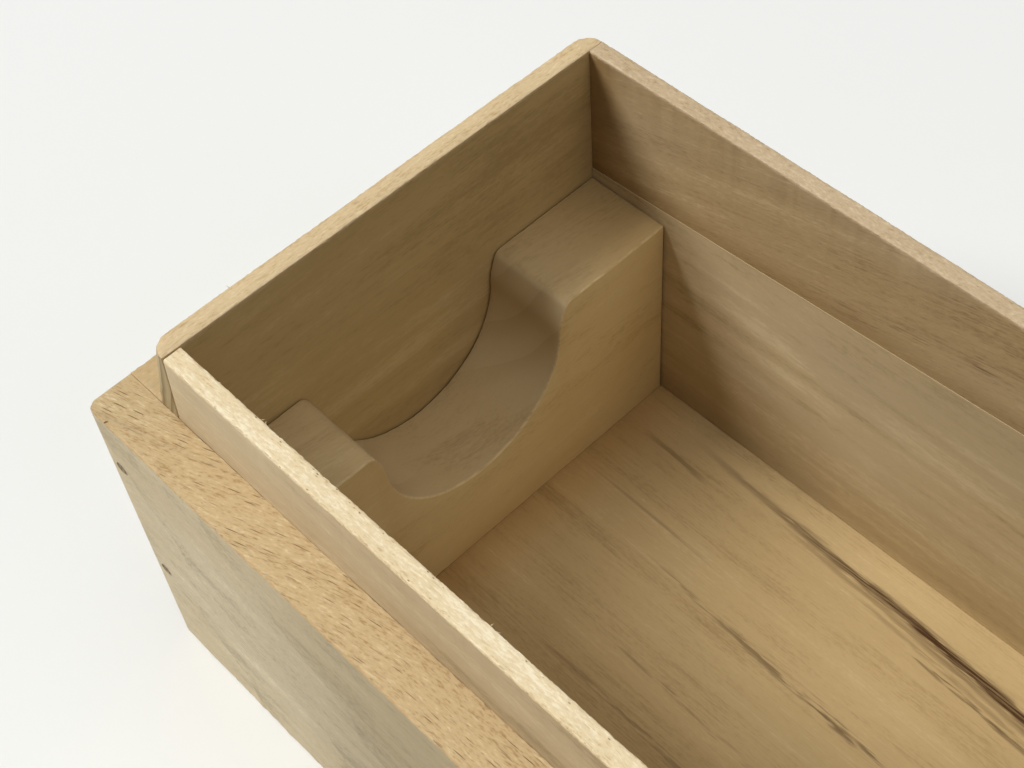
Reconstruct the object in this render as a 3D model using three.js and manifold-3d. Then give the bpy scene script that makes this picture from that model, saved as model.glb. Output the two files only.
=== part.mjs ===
// Paulownia box for one rolled hanging scroll, standing open with its lid laid beside it.
// Millimetres, +Z up. The origin is the middle of the box's underside. X runs along the box
// and Y across it, and the front is the side towards -Y.
import * as THREE from "three";
import { mergeVertices } from "three/addons/utils/BufferGeometryUtils.js";
import Module from "manifold-3d";

const wasm = await Module();
wasm.setup();

// Driving dimensions: the space inside
const innerLength = 560;
const innerWidth = 70;
const innerDepth = 62.5; // from the floor to the top of the lip

// The boards
const wallThickness = 7; // long outer walls
const endWallThickness = 6.7;
const linerThickness = 3.3; // long liners
const endLinerThickness = 3.5;
const bottomThickness = 6.4;
const lipRise = 11.4; // how far the liners stand above the outer walls
const wallCornerRadius = 1.4; // the box's four upright edges

// The lip, pared by hand after the liners are glued in so that the lid slides on
const lipTaper = 0.6; // how far its outer faces lean in from the ledge to the top
const lipEdgeRadius = 0.25; // along its outer top edge
const lipCornerRadius = 2.8; // at its corners, at the top, running out to nothing at the ledge

// The back liner is two strips, glued edge to edge on a slanting line
const stripJointHeight = 40; // above the floor, at the left end
const stripJointRun = 350; // along the box from the left end, where the line runs out at the lip's top

// The scroll rests
const restThickness = 14.4;
const restHeight = 38.4;
const restSideGap = 0.15; // between a rest and the liners beside it
const restEndGap = 0.2; // between a rest and the end liner behind it
const notchRadius = 16.8;
const notchStraight = 2.2; // upright part of the notch's sides, above the half circle
const notchOffset = 2.9; // from the middle of the box, towards the front
const shoulderRadius = 2.6;

// The wooden pegs
const pegRadius = 1.1;
const pegLength = 20;
const upperPegDrop = 10.9; // below the ledge
const lowerPegHeight = 20.9; // above the underside

// The lid, and where it lies beside the box
const lidTopThickness = 7;
const lidHeadroom = 0.5; // above the lip when the lid is on
const lidPlay = 0.3; // between the lip and each rim
const lidEdgeRadius = 1.2;
const lidPegLength = 16;
const lidToBox = 34; // clear space between the lid and the front wall
const lidShift = 46; // along the box, towards the right

const cutOverrun = 1; // how far a cutter reaches past the face that it cuts
const pareFootShare = 0.06; // the corner's radius at the ledge, as a share of its radius at the top
const arcSteps = 8; // facets in a quarter turn

// Places worked out from the dimensions
const halfLength = innerLength / 2;
const halfWidth = innerWidth / 2;
const linerEnd = halfLength + endLinerThickness; // outer face of an end liner, inner face of an end wall
const linerSide = halfWidth + linerThickness; // outer face of a long liner, inner face of a long wall
const wallEnd = linerEnd + endWallThickness;
const wallSide = linerSide + wallThickness;
const floorHeight = bottomThickness;
const lipTop = floorHeight + innerDepth;
const ledgeHeight = lipTop - lipRise;
const pegX = linerEnd + endWallThickness / 2;
const restTop = floorHeight + restHeight;
const rimHeight = lipRise + lidHeadroom;
const rimSide = linerSide + lidPlay;
const rimEnd = linerEnd + lidPlay;
const lidHeight = rimHeight + lidTopThickness;

// Wood colours, sRGB
const wood = (colour, roughness) =>
  new THREE.MeshStandardMaterial({ color: colour, roughness, metalness: 0 });
const wallWood = wood(0xcdb893, 0.72);
const linerWood = wood(0xd8c39a, 0.7);
const floorWood = wood(0xbfa070, 0.74);
const restWood = wood(0xc3a878, 0.74);
const lidWood = wood(0xd2bd95, 0.7);
const pegWood = wood(0x8f7650, 0.66);

// Closed mesh to solid, and back
function toSolid(geometry) {
  const bare = new THREE.BufferGeometry();
  bare.setAttribute("position", geometry.getAttribute("position"));
  bare.setIndex(geometry.index);
  const merged = mergeVertices(bare);
  return new wasm.Manifold(
    new wasm.Mesh({
      numProp: 3,
      vertProperties: merged.attributes.position.array,
      triVerts: new Uint32Array(merged.index.array),
    }),
  );
}

function toMesh(name, solid, material) {
  const { vertProperties, triVerts } = solid.getMesh();
  const geometry = new THREE.BufferGeometry();
  geometry.setAttribute("position", new THREE.BufferAttribute(vertProperties, 3));
  geometry.setIndex(new THREE.BufferAttribute(triVerts, 1));
  const flat = geometry.toNonIndexed();
  flat.computeVertexNormals();
  const mesh = new THREE.Mesh(flat, material);
  mesh.name = name;
  return mesh;
}

// An outline carried straight along one axis, from low to high. Its two coordinates are the
// other two axes: (y, z) along x, (x, z) along y and (x, y) along z. Each vertex gets its
// coordinates as they are given, so two pieces that share a face share it exactly. A foot
// says how the low end differs: from and to are matching points of the two ends, and share
// is the low end's size as a share of the outline's.
const placeAlong = {
  x: (u, v, far, low, high) => [far ? high : low, u, v],
  y: (u, v, far, low, high) => [u, far ? low : high, v],
  z: (u, v, far, low, high) => [u, v, far ? high : low],
};

function prism(outline, axis, low, high, foot) {
  const geometry = new THREE.ExtrudeGeometry(outline, {
    depth: 1,
    bevelEnabled: false,
    curveSegments: arcSteps,
  });
  const points = geometry.getAttribute("position");
  for (let i = 0; i < points.count; i++) {
    const far = points.getZ(i) > 0;
    const point = new THREE.Vector2(points.getX(i), points.getY(i));
    if (foot && !far) {
      point.sub(foot.from).multiplyScalar(foot.share).add(foot.to);
    }
    points.setXYZ(i, ...placeAlong[axis](point.x, point.y, far, low, high));
  }
  return toSolid(geometry);
}

function rectangle(lowU, highU, lowV, highV) {
  return new THREE.Shape([
    new THREE.Vector2(lowU, lowV),
    new THREE.Vector2(highU, lowV),
    new THREE.Vector2(highU, highV),
    new THREE.Vector2(lowU, highV),
  ]);
}

// The waste outside a rounded corner whose sharp point is (u, v). toU and toV say on which
// side of the piece the corner is: 1 for the high side and -1 for the low one.
function cornerWaste(u, v, toU, toV, radius) {
  const centreU = u - toU * radius;
  const centreV = v - toV * radius;
  const outU = u + toU * cutOverrun;
  const outV = v + toV * cutOverrun;
  const startAngle = toU > 0 ? 0 : Math.PI;
  const endAngle = (toV * Math.PI) / 2;
  const outline = new THREE.Shape();
  outline.moveTo(outU, centreV);
  outline.lineTo(u, centreV);
  outline.absarc(centreU, centreV, radius, startAngle, endAngle, toU * toV < 0);
  outline.lineTo(centreU, outV);
  outline.lineTo(outU, outV);
  return outline;
}

// Solids of the box
function wallPlan(side, inner) {
  const outer = side * wallSide;
  const centreX = wallEnd - wallCornerRadius;
  const centreY = outer - side * wallCornerRadius;
  const quarter = (side * Math.PI) / 2;
  const outline = new THREE.Shape();
  outline.moveTo(-wallEnd, inner);
  outline.lineTo(wallEnd, inner);
  outline.lineTo(wallEnd, centreY);
  outline.absarc(centreX, centreY, wallCornerRadius, 0, quarter, side < 0);
  outline.absarc(-centreX, centreY, wallCornerRadius, quarter, side * Math.PI, side < 0);
  return outline;
}

function peg(endSide, wallSideSign, x, z, length) {
  const outline = new THREE.Shape();
  outline.absarc(endSide * x, z, pegRadius, 0, Math.PI * 2);
  const outer = wallSideSign * wallSide;
  const inner = outer - wallSideSign * length;
  return prism(outline, "y", Math.min(outer, inner), Math.max(outer, inner));
}

// The waste outside the lip's leaning face. u is where the face stands at the ledge
function leaningWaste(u, toU) {
  const leanShare = (lipRise + cutOverrun) / lipRise;
  return new THREE.Shape([
    new THREE.Vector2(u, ledgeHeight),
    new THREE.Vector2(u + toU * cutOverrun, ledgeHeight),
    new THREE.Vector2(u + toU * cutOverrun, lipTop + cutOverrun),
    new THREE.Vector2(u - toU * lipTaper * leanShare, lipTop + cutOverrun),
  ]);
}

// What is pared off the lip: its outer faces lean in, their top edges are eased, and the four
// corners are rounded most at the top and hardly at all where they meet the ledge
function lipWaste() {
  const reachX = linerEnd + cutOverrun;
  const reachY = linerSide + cutOverrun;
  const leanShare = (lipRise + cutOverrun) / lipRise;
  const lean = lipTaper * leanShare;
  const radius = lipCornerRadius * leanShare;
  const cuts = [];
  for (const side of [-1, 1]) {
    const topY = side * (linerSide - lipTaper);
    const topX = side * (linerEnd - lipTaper);
    cuts.push(prism(leaningWaste(side * linerSide, side), "x", -reachX, reachX));
    cuts.push(prism(leaningWaste(side * linerEnd, side), "y", -reachY, reachY));
    cuts.push(prism(cornerWaste(topY, lipTop, side, 1, lipEdgeRadius), "x", -reachX, reachX));
    cuts.push(prism(cornerWaste(topX, lipTop, side, 1, lipEdgeRadius), "y", -reachY, reachY));
    for (const end of [-1, 1]) {
      const from = new THREE.Vector2(end * (linerEnd - lean), side * (linerSide - lean));
      const to = new THREE.Vector2(end * linerEnd, side * linerSide);
      const foot = { from, to, share: pareFootShare };
      const outline = cornerWaste(from.x, from.y, end, side, radius);
      cuts.push(prism(outline, "z", ledgeHeight, lipTop + cutOverrun, foot));
    }
  }
  return cuts.reduce((joined, cut) => joined.add(cut));
}

function longLiner(side) {
  const inner = side * halfWidth;
  const outer = side * linerSide;
  const outline = rectangle(Math.min(inner, outer), Math.max(inner, outer), floorHeight, lipTop);
  return prism(outline, "x", -halfLength, halfLength);
}

function endLiner(side) {
  const inner = side * halfLength;
  const outer = side * linerEnd;
  const outline = rectangle(Math.min(inner, outer), Math.max(inner, outer), floorHeight, lipTop);
  return prism(outline, "y", -linerSide, linerSide);
}

function endWall(side) {
  const inner = side * linerEnd;
  const outer = side * wallEnd;
  const outline = rectangle(Math.min(inner, outer), Math.max(inner, outer), 0, ledgeHeight);
  return prism(outline, "y", -linerSide, linerSide);
}

// Everything above the slanting glue line of the back liner
function aboveStripJoint() {
  const rise = innerDepth - stripJointHeight;
  const startX = -halfLength - cutOverrun;
  const startZ = floorHeight + stripJointHeight - (cutOverrun * rise) / stripJointRun;
  const endX = -halfLength + stripJointRun + (cutOverrun * stripJointRun) / rise;
  const outline = new THREE.Shape([
    new THREE.Vector2(startX, startZ),
    new THREE.Vector2(endX, lipTop + cutOverrun),
    new THREE.Vector2(startX, lipTop + cutOverrun),
  ]);
  return prism(outline, "y", halfWidth - cutOverrun, linerSide + cutOverrun);
}

// A scroll rest: a block with a round saddle notch, whose sides run up straight from the
// half circle and then turn out over rounded shoulders
function scrollRest(side) {
  const low = -halfWidth + restSideGap;
  const high = halfWidth - restSideGap;
  const centreY = -notchOffset;
  const arcZ = restTop - shoulderRadius - notchStraight;
  const shoulderZ = restTop - shoulderRadius;
  const frontSide = centreY - notchRadius;
  const backSide = centreY + notchRadius;
  const outline = new THREE.Shape();
  outline.moveTo(low, floorHeight);
  outline.lineTo(high, floorHeight);
  outline.lineTo(high, restTop);
  outline.lineTo(backSide + shoulderRadius, restTop);
  outline.absarc(backSide + shoulderRadius, shoulderZ, shoulderRadius, Math.PI / 2, Math.PI);
  outline.lineTo(backSide, arcZ);
  outline.absarc(centreY, arcZ, notchRadius, 0, -Math.PI / 2, true);
  outline.absarc(centreY, arcZ, notchRadius, -Math.PI / 2, -Math.PI, true);
  outline.lineTo(frontSide, shoulderZ);
  outline.absarc(frontSide - shoulderRadius, shoulderZ, shoulderRadius, 0, Math.PI / 2);
  outline.lineTo(low, restTop);
  const behind = side * (halfLength - restEndGap);
  const face = behind - side * restThickness;
  return prism(outline, "x", Math.min(behind, face), Math.max(behind, face));
}

// Solids of the lid, in the lid's own frame: the middle of its underside is the origin
function lidTopBoard() {
  const outline = new THREE.Shape();
  const centreX = wallEnd - wallCornerRadius;
  const centreY = wallSide - wallCornerRadius;
  outline.absarc(centreX, centreY, wallCornerRadius, 0, Math.PI / 2);
  outline.absarc(-centreX, centreY, wallCornerRadius, Math.PI / 2, Math.PI);
  outline.absarc(-centreX, -centreY, wallCornerRadius, Math.PI, Math.PI * 1.5);
  outline.absarc(centreX, -centreY, wallCornerRadius, Math.PI * 1.5, Math.PI * 2);
  let board = prism(outline, "z", rimHeight, lidHeight);
  for (const side of [-1, 1]) {
    const longEdge = cornerWaste(side * wallSide, lidHeight, side, 1, lidEdgeRadius);
    const endEdge = cornerWaste(side * wallEnd, lidHeight, side, 1, lidEdgeRadius);
    board = board.subtract(prism(longEdge, "x", -wallEnd - cutOverrun, wallEnd + cutOverrun));
    board = board.subtract(prism(endEdge, "y", -wallSide - cutOverrun, wallSide + cutOverrun));
  }
  return board;
}

function lidEndRim(side) {
  const inner = side * rimEnd;
  const outer = side * wallEnd;
  const outline = rectangle(Math.min(inner, outer), Math.max(inner, outer), 0, rimHeight);
  return prism(outline, "y", -rimSide, rimSide);
}

// Assembly
const ends = { left: -1, right: 1 };
const sides = { front: -1, back: 1 };
const levels = { upper: ledgeHeight - upperPegDrop, lower: lowerPegHeight };
const waste = lipWaste();

const box = new THREE.Group();
const walls = {};
for (const [name, side] of Object.entries(sides)) {
  walls[name] = prism(wallPlan(side, side * linerSide), "z", 0, ledgeHeight);
}
const endWalls = {};
for (const [name, end] of Object.entries(ends)) {
  endWalls[name] = endWall(end);
}
for (const [endName, end] of Object.entries(ends)) {
  for (const [sideName, side] of Object.entries(sides)) {
    for (const [level, height] of Object.entries(levels)) {
      const solid = peg(end, side, pegX, height, pegLength);
      walls[sideName] = walls[sideName].subtract(solid);
      endWalls[endName] = endWalls[endName].subtract(solid);
      box.add(toMesh(`peg_${sideName}_${endName}_${level}`, solid, pegWood));
    }
  }
}
for (const [name, solid] of Object.entries(walls)) {
  box.add(toMesh(`${name}_wall`, solid, wallWood));
}
for (const [name, solid] of Object.entries(endWalls)) {
  box.add(toMesh(`${name}_end_wall`, solid, wallWood));
}
const bottomPlan = rectangle(-linerEnd, linerEnd, -linerSide, linerSide);
box.add(toMesh("bottom_board", prism(bottomPlan, "z", 0, floorHeight), floorWood));

const backLiner = longLiner(sides.back).subtract(waste);
const aboveJoint = aboveStripJoint();
box.add(toMesh("front_liner", longLiner(sides.front).subtract(waste), linerWood));
box.add(toMesh("back_liner_lower", backLiner.subtract(aboveJoint), linerWood));
box.add(toMesh("back_liner_upper", backLiner.intersect(aboveJoint), linerWood));
for (const [name, end] of Object.entries(ends)) {
  box.add(toMesh(`${name}_end_liner`, endLiner(end).subtract(waste), linerWood));
  box.add(toMesh(`${name}_scroll_rest`, scrollRest(end), restWood));
}

const lid = new THREE.Group();
lid.position.set(lidShift, -(wallSide + lidToBox + wallSide), 0);
lid.add(toMesh("lid_top", lidTopBoard(), lidWood));
const longRims = {};
for (const [name, side] of Object.entries(sides)) {
  longRims[name] = prism(wallPlan(side, side * rimSide), "z", 0, rimHeight);
}
for (const [endName, end] of Object.entries(ends)) {
  let endRim = lidEndRim(end);
  for (const [sideName, side] of Object.entries(sides)) {
    const solid = peg(end, side, (rimEnd + wallEnd) / 2, rimHeight / 2, lidPegLength);
    longRims[sideName] = longRims[sideName].subtract(solid);
    endRim = endRim.subtract(solid);
    lid.add(toMesh(`lid_peg_${sideName}_${endName}`, solid, pegWood));
  }
  lid.add(toMesh(`lid_${endName}_rim`, endRim, lidWood));
}
for (const [name, solid] of Object.entries(longRims)) {
  lid.add(toMesh(`lid_${name}_rim`, solid, lidWood));
}

const scrollBox = new THREE.Group();
scrollBox.add(box, lid);

export default scrollBox;
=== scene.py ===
import math

import bpy
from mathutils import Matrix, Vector


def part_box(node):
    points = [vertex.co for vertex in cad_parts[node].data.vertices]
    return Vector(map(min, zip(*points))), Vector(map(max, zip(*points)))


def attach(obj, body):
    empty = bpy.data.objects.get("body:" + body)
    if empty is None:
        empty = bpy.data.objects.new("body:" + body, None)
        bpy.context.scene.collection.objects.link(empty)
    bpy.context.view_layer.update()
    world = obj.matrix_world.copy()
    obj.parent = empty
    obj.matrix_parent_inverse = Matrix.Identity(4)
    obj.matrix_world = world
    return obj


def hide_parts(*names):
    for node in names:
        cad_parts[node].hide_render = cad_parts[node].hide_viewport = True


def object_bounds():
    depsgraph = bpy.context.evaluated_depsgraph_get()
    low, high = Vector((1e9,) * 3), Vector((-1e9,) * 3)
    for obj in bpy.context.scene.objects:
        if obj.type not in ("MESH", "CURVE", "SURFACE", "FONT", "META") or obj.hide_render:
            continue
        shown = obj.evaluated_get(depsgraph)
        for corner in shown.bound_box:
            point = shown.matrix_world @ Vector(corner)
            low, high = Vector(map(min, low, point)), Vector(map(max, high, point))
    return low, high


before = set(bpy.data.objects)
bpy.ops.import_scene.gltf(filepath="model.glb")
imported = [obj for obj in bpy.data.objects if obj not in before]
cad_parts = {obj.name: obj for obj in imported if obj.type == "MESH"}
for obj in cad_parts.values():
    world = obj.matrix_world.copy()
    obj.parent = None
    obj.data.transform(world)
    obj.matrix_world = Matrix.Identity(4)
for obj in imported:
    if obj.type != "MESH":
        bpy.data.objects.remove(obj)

mm = 0.001
hair = 0.01 * mm  # closer than this is the same place
cadLow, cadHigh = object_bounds()
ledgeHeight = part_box("front_wall")[1].z
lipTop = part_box("front_liner")[1].z
print("frame loaded:", len(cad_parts), "nodes")

# Bench tools: every board starts as a sawn blank and is cut, eased and worn from there

bench = {
    "sharp": 35,  # degrees between the two faces of an arris
    "sharpOnRound": 50,  # the same on a piece with round forms, whose facets are left
    "smooth": 32,
    "straight": 0.99,  # an edge that lies along the board by this share of its length
    "worthCutting": 1.2,  # and is longer than this many steps
    "cloudDetail": 2,
}
alongX = (0, math.pi / 2, 0)
alongY = (math.pi / 2, 0, 0)


def pieceBox(node):
    low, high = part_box(node)
    return Vector(low), Vector(high)


def pickOnly(*objects):
    # nothing else stays selected, and the last one is the one that is worked on
    bpy.ops.object.select_all(action="DESELECT")
    for each in objects:
        each.select_set(True)
        bpy.context.view_layer.objects.active = each


def settle():
    # place, turn and size of the picked piece go into its mesh
    bpy.ops.object.transform_apply(location=True, rotation=True, scale=True)
    return bpy.context.object


def addBoard(name, low, high):
    # a plain board between two corners
    pickOnly()
    bpy.ops.mesh.primitive_cube_add(size=1, location=(low + high) / 2)
    board = bpy.context.object
    board.name = name
    board.scale = high - low
    return settle()


def sawBoard(node, ending="_board"):
    low, high = pieceBox(node)
    return addBoard(node + ending, low, high), low, high


def addRod(facets, radius, length, middle, way):
    pickOnly()
    bpy.ops.mesh.primitive_cylinder_add(vertices=facets, radius=radius, depth=length,
                                        location=middle, rotation=way)
    return bpy.context.object


def facesOf(low, high, axis, side):
    # the outer and the inner face of a board that stands on this side of the box
    return (low[axis], high[axis]) if side < 0 else (high[axis], low[axis])


def enterEdit(board, mode="VERT"):
    bpy.context.view_layer.objects.active = board
    bpy.ops.object.mode_set(mode="EDIT")
    bpy.ops.mesh.select_mode(type=mode)
    bpy.ops.mesh.select_all(action="DESELECT")


def leaveEdit():
    bpy.ops.object.mode_set(mode="OBJECT")


def cutAcross(board, axis, position):
    # one straight saw line all round the board, which stays whole
    enterEdit(board)
    bpy.ops.mesh.select_all(action="SELECT")
    point = Vector((0, 0, 0))
    normal = Vector((0, 0, 0))
    point[axis] = position
    normal[axis] = 1
    bpy.ops.mesh.bisect(plane_co=point, plane_no=normal)
    leaveEdit()


def pickVertices(board, test):
    enterEdit(board)
    leaveEdit()
    for vertex in board.data.vertices:
        vertex.select = test(vertex.co)
    bpy.ops.object.mode_set(mode="EDIT")


def pickEdges(board, test, sharp=None):
    # the edges that pass the test, of all or of those that are sharper than an angle
    enterEdit(board, "EDGE")
    if sharp:
        bpy.ops.mesh.edges_select_sharp(sharpness=math.radians(sharp))
    leaveEdit()
    points = board.data.vertices
    for edge in board.data.edges:
        first, second = (points[index].co for index in edge.vertices)
        edge.select = (edge.select or not sharp) and test(first, second)
    bpy.ops.object.mode_set(mode="EDIT")


def moveVertices(board, test, shift):
    pickVertices(board, test)
    bpy.ops.transform.translate(value=shift)
    leaveEdit()


def resizeVertices(board, test, centre, share):
    pickVertices(board, test)
    bpy.ops.transform.resize(value=share, center_override=centre)
    leaveEdit()


def roundEdges(board, test, radius, segments, sharp=None):
    pickEdges(board, test, sharp)
    bpy.ops.mesh.bevel(offset=radius, segments=segments, profile=0.5, affect="EDGES")
    leaveEdit()


def easeArrises(board, width, segments, test=lambda a, b: True, sharp=bench["sharp"]):
    roundEdges(board, test, width, segments, sharp)


def ringCuts(board, axis, low, high, step):
    # rings along the middle stretch of a board, in two rounds of cuts
    count = max(1, math.ceil((high - low) / step))
    first = max(1, math.ceil(math.sqrt(count)))
    second = max(1, math.ceil(count / first))

    def runsAlong(a, b):
        inside = min(a[axis], b[axis]) > low - hair and max(a[axis], b[axis]) < high + hair
        reach = abs(a[axis] - b[axis])
        return (inside and reach > bench["straight"] * (a - b).length
                and reach > bench["worthCutting"] * step)

    for cuts in (first, second):
        if cuts > 1:
            pickEdges(board, runsAlong)
            bpy.ops.mesh.subdivide(number_cuts=cuts - 1)
            leaveEdit()


def cutEvery(board, axis, start, end, step):
    position = start + step
    while position < end - step / 2:
        cutAcross(board, axis, position)
        position += step


def supportCuts(board, low, high, distance, axes=(0, 1, 2)):
    # lines just inside every arris keep the faces flat
    for axis in axes:
        cutAcross(board, axis, low[axis] + distance)
        cutAcross(board, axis, high[axis] - distance)


def wearDown(board, wear, test=None):
    # clouds push the surface in and out by a hair, all over or where the test says
    worn = ""
    if test:
        group = board.vertex_groups.new(name="worn")
        group.add([v.index for v in board.data.vertices if test(v.co)], 1.0, "REPLACE")
        worn = group.name
    for scale, depth in wear:
        texture = bpy.data.textures.new(board.name + "Wear", type="CLOUDS")
        texture.noise_scale = scale
        texture.noise_depth = bench["cloudDetail"]
        bpy.context.view_layer.objects.active = board
        bpy.ops.object.modifier_add(type="DISPLACE")
        modifier = board.modifiers[-1]
        modifier.texture = texture
        modifier.texture_coords = "LOCAL"
        modifier.strength = depth
        modifier.mid_level = 0.5
        modifier.vertex_group = worn
        bpy.ops.object.modifier_apply(modifier=modifier.name)


def wearArrises(board, low, high, reach, wear):
    # only where a point lies close to two faces of the board at once
    def nearArris(co):
        return sum(min(co[axis] - low[axis], high[axis] - co[axis]) < reach
                   for axis in range(3)) > 1
    wearDown(board, wear, nearArris)


def cutAway(board, cutter):
    bpy.context.view_layer.objects.active = board
    bpy.ops.object.modifier_add(type="BOOLEAN")
    modifier = board.modifiers[-1]
    modifier.object = cutter
    modifier.operation = "DIFFERENCE"
    bpy.ops.object.modifier_apply(modifier=modifier.name)
    bpy.data.objects.remove(cutter)


def joinPieces(board, others):
    pickOnly(*others, board)
    bpy.ops.object.join()
    return board


def finishPiece(piece, material, body, slotName, *nodes):
    pickOnly(piece)
    bpy.ops.object.shade_smooth_by_angle(angle=math.radians(bench["smooth"]))
    piece.data.materials.clear()
    piece.data.materials.append(material)
    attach(piece, body)
    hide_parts(*nodes)


# Shader nodes by short names, in the tree that is being wired

wiring = {}


def startWiring(owner):
    owner.use_nodes = True
    wiring["tree"] = owner.node_tree
    return owner.node_tree.nodes


def linear(colour):
    # a colour as 0 to 255, as it looks, turned into what the shader wants
    parts = [channel / 255 for channel in colour]
    return tuple(
        part / 12.92 if part <= 0.04045 else ((part + 0.055) / 1.055) ** 2.4 for part in parts
    ) + (1.0,)


def addNode(kind, **settings):
    node = wiring["tree"].nodes.new("ShaderNode" + kind)
    for name, value in settings.items():
        setattr(node, name, value)
    return node


def feed(socket, value):
    # the value is another socket, a colour as 0 to 255, or a number
    if isinstance(value, bpy.types.NodeSocket):
        wiring["tree"].links.new(value, socket)
    else:
        socket.default_value = linear(value) if isinstance(value, tuple) else value


def feedAll(node, *values):
    for socket, value in zip(node.inputs, values):
        feed(socket, value)
    return node.outputs[0]


def calc(operation, *values, clamp=False):
    return feedAll(addNode("Math", operation=operation, use_clamp=clamp), *values)


def times(*values):
    product = values[0]
    for value in values[1:]:
        product = calc("MULTIPLY", product, value)
    return product


def offFrom(value, other):
    return calc("ABSOLUTE", calc("SUBTRACT", value, other))


def mixColours(share, first, second, blend="MIX"):
    node = addNode("Mix", data_type="RGBA", blend_type=blend)
    feed(node.inputs[0], share)
    feed(node.inputs[6], first)
    feed(node.inputs[7], second)
    return node.outputs[2]


def mixValues(share, first, second):
    node = addNode("Mix", data_type="FLOAT")
    feed(node.inputs[0], share)
    feed(node.inputs[2], first)
    feed(node.inputs[3], second)
    return node.outputs[0]


def smoothRange(value, low, high, start=0.0, end=1.0):
    node = addNode("MapRange", interpolation_type="SMOOTHSTEP")
    return feedAll(node, value, low, high, start, end)


def apart(vector):
    node = addNode("SeparateXYZ")
    feed(node.inputs[0], vector)
    return node.outputs


# Wood. For each kind of mark: how long it is along the grain and how wide across it, in
# millimetres, the detail and roughness of its noise, and what it adds to the board's seed

grain = {
    "sway": (75, 30, 1, 0.5, 50),
    "wander": (160, 34, 2, 0.5, 0),
    "bands": (110, 3.2, 3, 0.5, 3),
    "fibres": (9, 0.26, 3, 0.6, 5),
    "clouds": (26, 15, 2, 0.5, 8),
    "mottle": (2.2, 0.6, 2, 0.6, 9),
    "fineMottle": (0.9, 0.25, 2, 0.6, 11),
    "tint": (70, 22, 2, 0.5, 12),
    "ragged": (0.9, 0.35, 3, 0.65, 20),
    "grit": (0.9, 0.25, 2, 0.6, 24),
    "coarse": (2.2, 0.6, 2, 0.6, 26),
    "poreRows": (16, 1.6, 1, 0.5, 29),
    "gum": (46, 1.5, 2, 0.55, 41),
    "wobble": (14, 60, 2, 0.5, 43),
    "breaks": (5, 0.5, 2, 0.5, 47),
    "dirt": (5, 0.5, 1, 0.5, 53),
}
dashes = {  # short dark marks: length, width and what they add to the seed
    "pores": (4.0, 0.23, 31),
    "specks": (0.8, 0.36, 33),
    "finePores": (1.1, 0.17, 37),
}
dash = {"radius": 0.3, "core": 0.5, "faintest": 0.35}
seedWay = (1, 1.7, 0.6)

# Each effect comes in from the first value to the second, and some go from a third to a fourth
limits = {
    "late": (0.35, 1.0),
    "lateEnd": (1.0, 0.97),
    "early": (0.45, 0.0),
    "tint": (0.42, 0.68),
    "crossCut": (0.9, 0.6),
    "endGrain": (0.3, 0.9, 0.0, 0.85),
    "poreRows": (0.35, 0.6, 0.35, 1.3),
    "gum": (0.64, 0.8),
    "streakWidth": (0.3, 0.65, 0.7, 1.25),
    "streakBody": (1.0, 0.15),
    "streakFibres": (0.38, 0.58, 0.65, 1.0),
    "dirt": (0.48, 0.6),
    "arris": (0.985, 0.85),
    "arrisAcross": (0.1, 0.4),
    "arrisPatches": (0.35, 0.62, 0.1, 1.2),
}
plainWood = {
    "seed": 1.0, "turn": (0, 0, 0), "sway": 4.0, "runOff": None, "ringAngle": 25,
    "ringSpacing": 5.2, "ringWander": 16, "rings": 0.22, "bands": 0.8, "fibres": 0.7,
    "clouds": 0.5, "mottle": 0.5, "fineMottle": 0.6,
    "colours": ((172, 146, 108), (206, 181, 141), (224, 203, 165)),
    "tint": (196, 170, 132), "tinting": 0.4, "crossCut": None, "drifts": (), "top": None,
    "endGrain": (158, 136, 103), "endGrainLine": (104, 84, 56), "endGrainLines": 0.9,
    "pores": 0.5, "poreShare": 0.25, "earlyPores": 0.3, "finePoreShare": 0.4, "finePores": 0.5,
    "poreColour": (112, 84, 50), "specks": None, "gum": 0.2, "gumColour": (120, 92, 60),
    "streaks": (), "seam": None, "arris": (150, 120, 80), "arrisShare": 0.3,
    "roundAcross": False,  # rounded over its width, so only edges that turn to X are arrises
    "roughness": 0.62, "roughnessSwing": 0.18, "shine": 0.28, "relief": 0.05,
    "reliefOf": {"pores": -1.4, "fibres": 0.5, "fineMottle": 0.5},
}
acrossBox = (0, 0, -90)


def paintedLight(along, start, full, tone, slope=0, blend="MULTIPLY"):
    # painted light and shade: a change of tone from one place to another, in millimetres
    return {"along": along, "reach": (start * mm, full * mm), "tone": tone, "slope": slope,
            "blend": blend}


def comesIn(value, kind):
    return smoothRange(value, *limits[kind])


def stretched(place, along, across, seed):
    # a pattern place that is drawn out along the grain
    node = addNode("VectorMath", operation="MULTIPLY_ADD")
    feed(node.inputs[0], place)
    node.inputs[1].default_value = (1 / along, 1 / across, 1 / across)
    node.inputs[2].default_value = [seed * part for part in seedWay]
    return node.outputs[0]


def noiseAt(place, kind, look):
    along, across, detail, roughness, more = grain[kind]
    node = addNode("TexNoise")
    feed(node.inputs["Vector"], stretched(place, along, across, look["seed"] + more))
    node.inputs["Scale"].default_value = 1.0
    node.inputs["Detail"].default_value = detail
    node.inputs["Roughness"].default_value = roughness
    return node.outputs[0]


def addSwing(tone, noise, strength):
    # the tone goes lighter and darker round its middle
    return calc("MULTIPLY_ADD", calc("SUBTRACT", noise, 0.5), strength, tone)


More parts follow.
